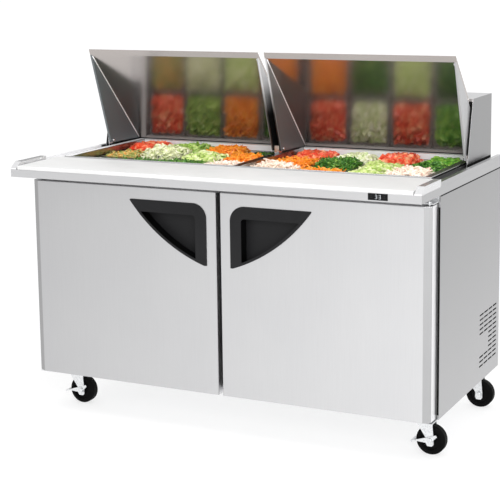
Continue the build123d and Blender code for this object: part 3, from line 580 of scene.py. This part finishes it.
def display_case():
    """Controller with rounded front edges, a sunk window and four keys."""
    low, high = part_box("digital_display")
    # Depth and inset of each ring, from the back edge round the rim and down into the window.
    rings = [(high.y, 0.0), (low.y + 0.0012, 0.0), (low.y + 0.0004, 0.0004), (low.y, 0.0012),
             (low.y, 0.0030), (low.y + RECESS, 0.0034)]
    verts = []
    for y, inset in rings:
        x0, x1, z0, z1 = low.x + inset, high.x - inset, low.z + inset, high.z - inset
        verts += [(x0, y, z0), (x1, y, z0), (x1, y, z1), (x0, y, z1)]
    faces = ring_faces(len(rings), 4)
    case = piece_from("display_case", verts, faces, MATERIALS["display"], "display_plastic")
    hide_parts("digital_display")
    keys = []
    for x in (low.x + 0.008, high.x - 0.008 - KEY_W):
        for z in (low.z + 0.0065, high.z - 0.0065 - KEY_H):
            keys.append(box_mesh((x, low.y + 0.0005, z), (x + KEY_W, low.y + 0.002, z + KEY_H)))
    add_bevel(piece_from("display_keys", *joined(keys), MATERIALS["grip"], "grip_plastic"), 0.0004)
    display_digits(low, high)


# ---- lids ----
SEAM_R = 0.0018
SEAM_STEPS = 12
LID_INWARD = Vector((0, -0.7262, -0.6875))
PIN_Y, PIN_Z = 0.170, 0.955
BOLT_R = 0.0058
BOLT_H = 0.0034
# X of each bolt head on the right, and the way it faces.
BOLT_ENDS = ((0.0232, 1), (0.7074, -1))


def lid_seams():
    """Welded seam where each end plate meets the panel, in the bright steel: the seam is real and its
    brightness a painted highlight.
    """
    for side in SIDES:
        panel_low, panel_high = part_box("lid_panel_" + side)
        low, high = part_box("lid_cheeks_" + side)
        tip = Vector((0, low.y, high.z)) + LID_INWARD * 0.001
        heel = Vector((0, high.y, low.z)) + LID_INWARD * 0.001
        parts = []
        for x in (panel_low.x + CHEEK_T + 0.0006, panel_high.x - CHEEK_T - 0.0006):
            steps = [0.01 + 0.98 * i / SEAM_STEPS for i in range(SEAM_STEPS + 1)]
            line = [tip.lerp(heel, t) + Vector((x, 0, 0)) for t in steps]
            parts.append(tube_mesh(line, SEAM_R, 8))
        piece_from("lid_seams_" + side, *joined(parts), MATERIALS["well"], "bolt_steel", "lid_" + side, True)


def lid_bolts():
    """Domed heads on the inner ends of the pins that the lids turn on."""
    for side, sign in SIGNS:
        heads = []
        for x, way in BOLT_ENDS:
            heads.append(dome_mesh((sign * x, PIN_Y, PIN_Z), (sign * way, 0, 0), BOLT_R, BOLT_H, 20))
        piece_from("lid_bolts_" + side, *joined(heads), MATERIALS["bolt"], "bolt_steel", "cabinet", True)


# ---- casing details ----
SHEET_HALF = 0.0005
RIM_R = 0.0013
RIM_SINK = 0.0007
BRACKET_REAR = -0.2445
HOOD_LOW_FRONT = 0.144
EDGE_W = 0.0153
# Front corners of the hood's ends: y and z at the foot and at the top.
HOOD_FOOT = (0.145, 0.936)
HOOD_HEAD = (0.200, 1.158)
# Black strips of painted shade beside the lids: x inside and outside, z at foot and head, and depth.
SHADE_STRIP_IN, SHADE_STRIP_OUT = 0.7213, 0.7280
SHADE_STRIP_FOOT_Z, SHADE_STRIP_HEAD_Z = 0.972, 1.146
SHADE_STRIP_DEPTH = 0.012
SCREW_R, SCREW_H = 0.0045, 0.0014
HOOD_SCREW_R = 0.0042
SCREW_X = 0.742
HOOD_SCREW_INSET = 0.014


def well_walls():
    """Sheets of painted light on the rail's rear walls behind each group of pans, and darker sheets of
    painted shade on the walls beside them.
    """
    low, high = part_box("pan_rail")
    bottom, top = high.z - 0.0232, high.z - 0.0020
    rear = high.y - REAR_WALL
    for side, sign in SIGNS:
        x0, x1 = span(sign, DIVIDER_HALF + 0.0012, high.x - RAIL_WALL - 0.0012)
        sheet = box_mesh((x0, rear - 0.0006, bottom), (x1, rear + 0.0002, top))
        cap = box_mesh((x0, rear + 0.0004, high.z - 0.0004), (x1, high.y - 0.0004, high.z + 0.0004))
        wall = piece_from("well_wall_" + side, *joined([sheet, cap]), MATERIALS["well"], "rail_steel")
        add_bevel(wall, 0.0002)
        sheets = []
        for x in (sign * DIVIDER_HALF, sign * (high.x - RAIL_WALL)):
            start = (x - SHEET_HALF, low.y + 0.006, bottom)
            sheets.append(box_mesh(start, (x + SHEET_HALF, rear - 0.001, top)))
        ends = piece_from("well_sides_" + side, *joined(sheets), MATERIALS["well_side"], "rail_steel")
        add_bevel(ends, 0.0002)


def rail_rims():
    """Bright turned edges along the tops of the rail's walls and of its divider."""
    low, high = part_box("pan_rail")
    z = high.z - RIM_SINK
    front = low.y + 0.005
    rear = high.y - REAR_WALL - 0.001
    for side, sign in SIGNS:
        outer = sign * (high.x - RIM_SINK)
        inner = sign * (high.x - RAIL_WALL)
        divider = sign * DIVIDER_HALF
        runs = [
            ((outer, low.y + 0.002, z), (outer, high.y - 0.002, z)),
            ((inner, front, z), (inner, rear, z)),
            ((divider, front, z), (divider, rear, z)),
            ((divider, low.y + 0.004, z), (inner, low.y + 0.004, z)),
        ]
        tubes = [tube_mesh([Vector(a).lerp(Vector(b), i / 6) for i in range(7)], RIM_R, 8) for a, b in runs]
        piece_from("rail_rims_" + side, *joined(tubes), MATERIALS["bolt"], "rail_steel", "cabinet", True)


def rail_ends():
    """Turned top of the rail's ends, black strips of painted shade on their outer sides, and sheets over the
    channels beside them: painted shade on the right, painted light on the left.
    """
    low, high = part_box("pan_rail")
    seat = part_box("cutting_board")[0].z - 0.0003
    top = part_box("countertop")[1]
    edge = top.x - EDGE_W
    front, rear = low.y + 0.001, high.y - 0.001
    shade_strips = []
    # Left: painted light on cap and channel. Right: painted shade on cap and channel.
    looks = {"left": ("well", "well"), "right": ("rail_cap", "channel_shade")}
    for side, sign in SIGNS:
        top_look, floor_look = looks[side]
        x0, x1 = span(sign, high.x - 0.0242, high.x - 0.0022)
        cap = box_mesh((x0, front, high.z - 0.0004), (x1, rear, high.z + 0.0003))
        add_bevel(piece_from("rail_cap_" + side, *cap, MATERIALS[top_look], "rail_steel"), 0.0002)
        # Black strips of painted shade on the rail's outer walls.
        x0, x1 = span(sign, high.x - 0.0003, high.x + 0.0005)
        shade_strips.append(box_mesh((x0, front, high.z - 0.0066), (x1, rear, high.z - 0.0016)))
        parts = [box_mesh((x0, front, seat + 0.0003), (x1, rear, high.z - 0.0068))]
        x0, x1 = span(sign, high.x + 0.0008, edge)
        parts.append(box_mesh((x0, BRACKET_REAR, seat - 0.0004), (x1, HOOD_LOW_FRONT, seat + 0.00022)))
        # Painted light sheets over the top's raised edge on the left.
        if sign < 0:
            start, end = BRACKET_REAR + 0.0005, HOOD_LOW_FRONT
            parts.append(box_mesh((-edge - 0.0002, start, seat + 0.0003), (-edge + 0.0003, end, top.z)))
            lip_low, lip_high = top.z - 0.0002, top.z + 0.0002
            parts.append(box_mesh((-edge - 0.0150, start, lip_low), (-edge - 0.0004, end, lip_high)))
        piece_from("top_channel_" + side, *joined(parts), MATERIALS[floor_look], "casing_steel")
    add_bevel(piece_from("rail_end_shade_strips", *joined(shade_strips), MATERIALS["gasket"], "gasket_rubber"), 0.0001)


def casing_seals_and_gap_shade():
    """Black strips under the top's side skirts, on the frame behind the doors' edges and between the doors:
    partly real seals, partly painted shade that keeps these gaps dark.
    """
    panel_low, panel_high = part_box("side_panel_right")
    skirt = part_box("countertop")[0].z
    gasket_low, gasket_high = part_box("door_gasket_right")
    front, back = panel_low.y - 0.0013, panel_low.y + 0.0005
    parts = []
    for sign in (-1, 1):
        x0, x1 = span(sign, panel_high.x - 0.001, panel_high.x + 0.00012)
        parts.append(box_mesh((x0, back, skirt - 0.0046), (x1, panel_high.y - 0.001, skirt - 0.0002)))
        x0, x1 = span(sign, panel_high.x - 0.0065, panel_high.x - 0.0003)
        parts.append(box_mesh((x0, front, gasket_low.z), (x1, back, gasket_high.z)))
    parts.append(box_mesh((-0.0102, front, gasket_low.z), (0.0102, back, gasket_high.z)))
    add_bevel(piece_from("casing_seals_and_gap_shade", *joined(parts), MATERIALS["gasket"], "gasket_rubber"), 0.0003)


def hood_slot_shade():
    """Black strips of painted shade along the front edges of the hood's ends, beside the lids, where the
    slot lies in shade.
    """
    slope = (HOOD_HEAD[0] - HOOD_FOOT[0]) / (HOOD_HEAD[1] - HOOD_FOOT[1])
    parts = []
    for sign in (-1, 1):
        corners = []
        for x in (sign * SHADE_STRIP_IN, sign * SHADE_STRIP_OUT):
            for z in (SHADE_STRIP_FOOT_Z, SHADE_STRIP_HEAD_Z):
                y = HOOD_FOOT[0] + (z - HOOD_FOOT[1]) * slope + 0.001
                corners += [(x, y, z), (x, y + SHADE_STRIP_DEPTH, z)]
        parts.append((corners, BOX_FACES))
    add_bevel(piece_from("hood_slot_shade", *joined(parts), MATERIALS["gasket"], "gasket_rubber"), 0.0008)


def casing_screws():
    """Screw heads on the back panel and along the back of the hood box."""
    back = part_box("back_panel")[1].y
    hood_low, hood_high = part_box("hood_box")
    spots = [(x, z) for x in (-SCREW_X, -0.37, 0.0, 0.37, SCREW_X) for z in (0.168, 0.878)]
    spots += [(x, z) for z in (0.345, 0.52, 0.70) for x in (-SCREW_X, SCREW_X)]
    heads = [dome_mesh((x, back, z), (0, 1, 0), SCREW_R, SCREW_H) for x, z in spots]
    for x in (-0.70, -0.35, 0.0, 0.35, 0.70):
        for z in (hood_low.z + HOOD_SCREW_INSET, hood_high.z - HOOD_SCREW_INSET):
            heads.append(dome_mesh((x, hood_high.y, z), (0, 1, 0), HOOD_SCREW_R, SCREW_H))
    piece_from("casing_screws", *joined(heads), MATERIALS["bolt"], "bolt_steel", "cabinet", True)


# ---- food in the pans ----
def food_look(name, colors, rough=0.35, scale=55.0):
    """Fresh food: colours that change from bit to bit, with a moist sheen."""
    material, tree, shader = new_material(name, colors[0], 0.0, rough, Coat_Weight=0.25)
    patches = noise(tree, EVEN, scale, 2.0, 0.5)
    node = tree.nodes.new("ShaderNodeValToRGB")
    stops = node.color_ramp.elements
    for i, color in enumerate(colors):
        place = 0.32 + 0.36 * i / max(1, len(colors) - 1)
        stop = stops[i] if i < 2 else stops.new(place)
        stop.position = place
        stop.color = (*color, 1.0)
    tree.links.new(patches, node.inputs["Fac"])
    tree.links.new(node.outputs["Color"], shader.inputs["Base Color"])
    bump(tree, shader, noise(tree, EVEN, 900.0), 0.3, 0.0004)
    return material


def dice_bit(rng, size):
    """An uneven cube."""
    half = [size * rng.uniform(0.35, 0.6) for _ in range(3)]
    verts, faces = box_mesh([-h for h in half], half)
    return [Vector(v) * rng.uniform(0.85, 1.1) for v in verts], faces


def strip_bit(rng, size):
    """A thin bent ribbon, as of shredded carrot, cabbage or lettuce."""
    length = size * rng.uniform(2.0, 4.2)
    width = size * rng.uniform(0.16, 0.3)
    thick = width * 0.6
    bend = rng.uniform(-1.6, 1.6)
    steps = 6
    verts = []
    for i in range(steps):
        t = i / (steps - 1) - 0.5
        bow = length * 0.18 * bend * (1 - 4 * t * t)
        centre = Vector((length * t, bow, size * 0.3 * math.sin(5 * t + bend)))
        for dy, dz in ((-width, -thick), (width, -thick), (width, thick), (-width, thick)):
            verts.append(centre + Vector((0, dy, dz)))
    return verts, ring_faces(steps, 4)


def crescent_bit(rng, size):
    """A sliced stalk or pepper: a thick open arc."""
    radius = size * rng.uniform(0.7, 1.1)
    wall = radius * 0.3
    inner, outer = radius - wall, radius + wall
    depth = size * rng.uniform(0.2, 0.45)
    steps = 7
    verts = []
    sweep = rng.uniform(2.2, 4.4)
    for i in range(steps):
        angle = sweep * i / (steps - 1)
        for r, h in ((inner, -depth), (outer, -depth), (outer, depth), (inner, depth)):
            verts.append(Vector((r * math.cos(angle), r * math.sin(angle), h)))
    return verts, ring_faces(steps, 4)


def leaf_bit(rng, size):
    """A small crumpled leaf with a thick rib."""
    length = size * rng.uniform(0.9, 1.7)
    width = size * rng.uniform(0.5, 0.9)
    curl = rng.uniform(0.2, 0.9)
    steps = 5
    verts = []
    for i in range(steps):
        t = i / (steps - 1)
        half = width * math.sin(math.pi * min(0.96, 0.08 + 0.9 * t)) * 0.6
        rise = curl * length * t * t * 0.5
        x = length * (t - 0.5)
        lift = [size * rng.uniform(0.05, 0.35) for _ in range(2)]
        verts += [Vector((x, -half, rise + lift[0])), Vector((x, 0, rise - size * 0.08))]
        verts += [Vector((x, half, rise + lift[1])), Vector((x, 0, rise + size * 0.05))]
    return verts, ring_faces(steps, 4)


# Each food: its kind of bit, the bit's size in metres, how many, and its colours from dark to light.
FOODS = {
    "tomato": (dice_bit, 0.018, 190, [(0.72, 0.04, 0.015), (0.90, 0.13, 0.05), (0.97, 0.48, 0.25)]),
    "carrot": (strip_bit, 0.012, 420, [(0.88, 0.21, 0.01), (0.98, 0.32, 0.02), (1.0, 0.44, 0.05)]),
    "onion": (strip_bit, 0.013, 340, [(0.84, 0.54, 0.44), (0.94, 0.80, 0.66), (0.99, 0.93, 0.84)]),
    "lettuce": (strip_bit, 0.015, 340, [(0.48, 0.58, 0.20), (0.82, 0.84, 0.54), (0.95, 0.94, 0.78)]),
    "celery": (crescent_bit, 0.011, 250, [(0.34, 0.54, 0.08), (0.66, 0.78, 0.28), (0.90, 0.92, 0.62)]),
    "beans": (strip_bit, 0.017, 280, [(0.10, 0.27, 0.03), (0.32, 0.52, 0.08), (0.62, 0.74, 0.26)]),
    "herbs": (leaf_bit, 0.016, 430, [(0.02, 0.10, 0.01), (0.09, 0.30, 0.03), (0.30, 0.52, 0.10)]),
    "peppers": (crescent_bit, 0.013, 240, [(0.05, 0.22, 0.02), (0.16, 0.45, 0.04), (0.42, 0.64, 0.12)]),
    "cucumber": (dice_bit, 0.016, 220, [(0.42, 0.58, 0.18), (0.80, 0.85, 0.52), (0.96, 0.96, 0.84)]),
    "mixed": (strip_bit, 0.012, 330, [(0.10, 0.28, 0.03), (0.60, 0.50, 0.16), (0.95, 0.40, 0.08)]),
}

# Front, middle and rear pan of each column, from the outer end of each side towards the divider:
# the food, and the height of its heap over the pan's rim in millimetres.
PAN_MENU = {
    "left": [(("herbs", -14), ("mixed", 0), ("tomato", 14)),
             (("herbs", -2), ("lettuce", 26), ("beans", 10)),
             (("herbs", 5), ("celery", 14), ("carrot", 12)),
             (("onion", 8), ("carrot", 12), ("herbs", -16))],
    "right": [(("onion", 24), ("herbs", 14), ("peppers", 8)),
              (("celery", 8), ("celery", 12), ("tomato", 16)),
              (("carrot", 4), ("herbs", 18), ("cucumber", 8)),
              (("onion", 20), ("carrot", 10), ("tomato", 12))],
}


COLUMNS, ROWS = 4, 3
PAN_W, PAN_L = 0.162, 0.174
# Half sizes of a heap, and depths in metres under the pan's rim or under the loose bits.
HEAP_X, HEAP_Y = 0.0695, 0.0755
HEAP_EDGE_DROP = 0.010
CORE_SINK = 0.006
CORE_DEPTH = 0.030
CORE_SHARE = 0.97
CORE_STEPS = 12
# Bits higher than CLEAR_RISE over the rim may hang SPILL beyond the heap.
CLEAR_RISE, SPILL = 0.003, 0.004


def pan_centres(side):
    """Centres of a side's pans, columns from the outer end inwards, and rows from the front."""
    low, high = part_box("food_pans_" + side)
    outer = low.x if side == "left" else high.x
    inward = 1 if side == "left" else -1
    pitch_x = (high.x - low.x - PAN_W) / (COLUMNS - 1)
    pitch_y = (high.y - low.y - PAN_L) / (ROWS - 1)
    for column in range(COLUMNS):
        for row in range(ROWS):
            x = outer + inward * (PAN_W / 2 + column * pitch_x)
            yield column, row, Vector((x, low.y + PAN_L / 2 + row * pitch_y, high.z))


def heap_height(u, v, level, waves):
    """Height of the heap over the pan's rim, for u and v from -1 to 1 across the pan."""
    edge = max(abs(u), abs(v))
    lump = 0.005 * math.sin(2.4 * u + waves[0]) * math.cos(2.9 * v + waves[1])
    return -HEAP_EDGE_DROP + (level + HEAP_EDGE_DROP + lump) * (1 - edge ** 4)


def heap_core(centre, level, waves, rng):
    """Closed lumpy block under the loose bits, down into the pan."""
    steps = CORE_STEPS
    verts = []
    for i in range(steps + 1):
        for j in range(steps + 1):
            u, v = 2 * i / steps - 1, 2 * j / steps - 1
            z = heap_height(u, v, level, waves) - CORE_SINK + rng.uniform(-0.002, 0.002)
            verts.append(centre + Vector((u * HEAP_X * CORE_SHARE, v * HEAP_Y * CORE_SHARE, z)))
    count = len(verts)
    drop = Vector((0, 0, CORE_DEPTH - min(0.0, level)))
    verts += [Vector((p.x, p.y, centre.z)) - drop for p in verts]
    row = steps + 1
    faces = []
    for i in range(steps):
        for j in range(steps):
            a = i * row + j
            faces.append((a, a + row, a + row + 1, a + 1))
            faces.append((a + count, a + 1 + count, a + row + 1 + count, a + row + count))
    for i in range(steps):
        for a, b in ((i, i + 1), (steps * row + i, steps * row + i + 1),
                     (i * row, (i + 1) * row), (i * row + steps, (i + 1) * row + steps)):
            faces.append((a, b, b + count, a + count))
    return verts, faces


def food_heap(name, kind, level, centre, seed, looks):
    """One pan's food: a lumpy core under loose bits that stay over the pan."""
    maker, size, count, _ = FOODS[kind]
    rng = random.Random(seed)
    waves = (rng.uniform(0, 6.3), rng.uniform(0, 6.3))
    parts = [heap_core(centre, level, waves, rng)]
    loose = 0.9 if maker is strip_bit else 0.6
    for _ in range(count):
        u, v = rng.uniform(-0.97, 0.97), rng.uniform(-0.97, 0.97)
        bit_verts, bit_faces = maker(rng, size)
        lean = 3.0 if maker is dice_bit else loose * rng.uniform(0.3, 1.0)
        lean_x = rng.uniform(-lean, lean)
        lean_y = rng.uniform(-lean, lean)
        turn_z = rng.uniform(0, 2 * math.pi)
        tilt = Matrix.Rotation(lean_x, 4, "X") @ Matrix.Rotation(lean_y, 4, "Y")
        turn = Matrix.Rotation(turn_z, 4, "Z") @ tilt
        height = heap_height(u, v, level, waves) + rng.uniform(-0.004, 0.004)
        place = Matrix.Translation(centre + Vector((u * HEAP_X, v * HEAP_Y, height))) @ turn
        clipped = []
        for p in (place @ Vector(q) for q in bit_verts):
            spill = SPILL if p.z > centre.z + CLEAR_RISE else 0.0
            x = min(max(p.x, centre.x - HEAP_X - spill), centre.x + HEAP_X + spill)
            y = min(max(p.y, centre.y - HEAP_Y - spill), centre.y + HEAP_Y + spill)
            clipped.append((x, y, p.z))
        parts.append((clipped, bit_faces))
    return piece_from(name, *joined(parts), looks[kind], None, "cabinet", maker is leaf_bit)


def fill_pans():
    """One heap of food in each of the 24 pans."""
    looks = {kind: food_look("food_" + kind, facts[3]) for kind, facts in FOODS.items()}
    seed = 0
    for side in SIDES:
        for column, row, centre in pan_centres(side):
            seed += 1
            kind, level = PAN_MENU[side][column][row]
            food_heap(f"food_{side}_{column + 1}_{row + 1}_{kind}", kind, level * MM, centre, seed, looks)


# ---- stage ----
FLOOR_REACH = 200.0
CAMERA_PLACE = (2.154, -4.420, 1.636)
# Degrees: turned left from straight at the back, tipped down, and rolled.
CAMERA_YAW, CAMERA_PITCH, CAMERA_ROLL = 26.34, 9.354, -0.758
LENS_MM = 100.07
SENSOR_MM = 36.0
FRAME_SHIFT = -0.12
WORLD_STRENGTH = 1.06


def make_floor():
    """Pale ground that takes a faint shadow."""
    mesh = bpy.data.meshes.new("floor")
    reach = FLOOR_REACH
    corners = [(-reach, -reach, 0), (reach, -reach, 0), (reach, reach, 0), (-reach, reach, 0)]
    mesh.from_pydata(corners, [], [(0, 1, 2, 3)])
    floor = bpy.data.objects.new("floor", mesh)
    bpy.context.scene.collection.objects.link(floor)
    material, _, shader = new_material("floor", (0.36, 0.36, 0.36), 0.0, 0.9)
    shader.inputs["Emission Color"].default_value = WHITE
    shader.inputs["Emission Strength"].default_value = 0.66
    mesh.materials.append(material)


def make_camera():
    """Camera from the front right, a little above the table."""
    yaw, pitch, roll = (math.radians(a) for a in (CAMERA_YAW, CAMERA_PITCH, CAMERA_ROLL))
    forward = Vector((-math.sin(yaw) * math.cos(pitch), math.cos(yaw) * math.cos(pitch), -math.sin(pitch)))
    right = Vector((math.cos(yaw), math.sin(yaw), 0.0))
    up = right.cross(forward)
    turned_right = right * math.cos(roll) + up * math.sin(roll)
    turned_up = up * math.cos(roll) - right * math.sin(roll)
    data = bpy.data.cameras.new("camera")
    data.lens = LENS_MM
    data.sensor_width = SENSOR_MM
    data.shift_y = FRAME_SHIFT
    camera = bpy.data.objects.new("camera", data)
    rotation = Matrix((turned_right, turned_up, -forward)).transposed().to_4x4()
    camera.matrix_world = Matrix.Translation(Vector(CAMERA_PLACE)) @ rotation
    bpy.context.scene.collection.objects.link(camera)
    bpy.context.scene.camera = camera


def area_light(name, location, target, size, power):
    """White light panel that looks from one point to another."""
    data = bpy.data.lights.new(name, "AREA")
    data.shape = "RECTANGLE"
    data.size, data.size_y = size
    data.energy = power
    light = bpy.data.objects.new(name, data)
    direction = Vector(target) - Vector(location)
    light.rotation_mode = "QUATERNION"
    light.rotation_quaternion = direction.to_track_quat("-Z", "Y")
    light.location = location
    bpy.context.scene.collection.objects.link(light)


def whiten(tree, factor, color):
    """The colour, turned to white as the factor goes from 0 to 1."""
    node = tree.nodes.new("ShaderNodeMix")
    node.data_type = "RGBA"
    node.inputs[7].default_value = WHITE
    tree.links.new(factor, node.inputs["Factor"])
    tree.links.new(color, node.inputs[6])
    return node.outputs[2]


def make_world():
    """Studio surround: plain white to the camera, and as light dimmer low down on the left."""
    world = bpy.data.worlds.new("studio")
    world.use_nodes = True
    tree = world.node_tree
    background = tree.nodes["Background"]
    background.inputs["Strength"].default_value = WORLD_STRENGTH
    coords = tree.nodes.new("ShaderNodeTexCoord")
    split = tree.nodes.new("ShaderNodeSeparateXYZ")
    tree.links.new(coords.outputs["Generated"], split.inputs["Vector"])
    across = ramp(tree, calc(tree, "MULTIPLY_ADD", split.outputs["X"], 0.5, 0.5), 0.1, 1.0, 0.15, 0.42)
    height = ramp(tree, split.outputs["Z"], 0.0, 1.0, 0.15, 0.6)
    path = tree.nodes.new("ShaderNodeLightPath")
    seen = whiten(tree, path.outputs["Is Camera Ray"], whiten(tree, height, across))
    tree.links.new(seen, background.inputs["Color"])
    bpy.context.scene.world = world


def make_lights():
    """World, key light from the front right, and a weak light over the pans."""
    bpy.context.scene.view_settings.view_transform = "Standard"
    make_world()
    area_light("key", location=(3.0, -4.5, 2.4), target=(1.0, -1.5, 0.0), size=(2.0, 2.0), power=110.0)
    area_light("over_pans", location=(0.0, -1.0, 2.3), target=(0.0, 0.05, 0.9), size=(1.8, 0.8), power=12.0)


dress_cad_nodes()
display_case()
lid_seams()
lid_bolts()
rail_rims()
well_walls()
rail_ends()
casing_seals_and_gap_shade()
hood_slot_shade()
casing_screws()
fill_pans()
make_floor()
make_camera()
make_lights()
